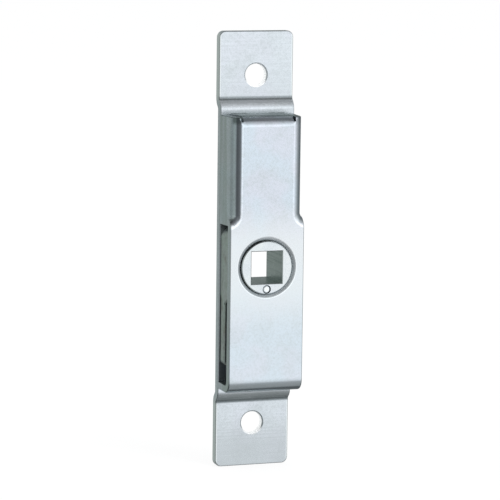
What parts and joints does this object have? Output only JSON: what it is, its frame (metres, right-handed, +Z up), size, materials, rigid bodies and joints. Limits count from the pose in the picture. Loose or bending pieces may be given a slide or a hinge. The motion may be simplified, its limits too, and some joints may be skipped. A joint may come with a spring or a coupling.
{
  "type": "cabinet lock",
  "caption": "Cabinet rim lock with a swinging tongue, a square key hole in a round follower, a pressed steel case and a mounting strap with stepped ends.",
  "frame": {"origin": "midway between the two screw holes, on the plane of the ears' backs, which is the face that the lock is screwed to", "axes": "+Z up along the strap, +X to the right seen from the front, the lock's front faces -Y"},
  "size_m": [0.019, 0.0118, 0.108],
  "materials": {
    "strap_zinc": "bright zinc plate on rolled strip",
    "case_zinc": "bright zinc plate, slightly mottled",
    "follower_steel": "turned face, zinc plated",
    "tongue_steel": "dull zinc plate",
    "pin_steel": "bright end with a chamfer",
    "spring_steel": "tempered strip"
  },
  "bodies": {
    "lock_case": {"mounting_strap": "strap_zinc", "case_cover": "case_zinc", "detent_spring": "spring_steel"},
    "tongue_group": {"follower": "follower_steel", "tongue": "tongue_steel", "tongue_pin": "pin_steel"}
  },
  "joints": [
    {"name": "tongue_swing", "type": "hinge", "parent": "lock_case", "child": "tongue_group", "pos_m": [0, -0.0068, -0.003], "axis": [0, 1, 0], "range_deg": [-90, 90], "deforming": ["detent_spring"]}
  ]
}
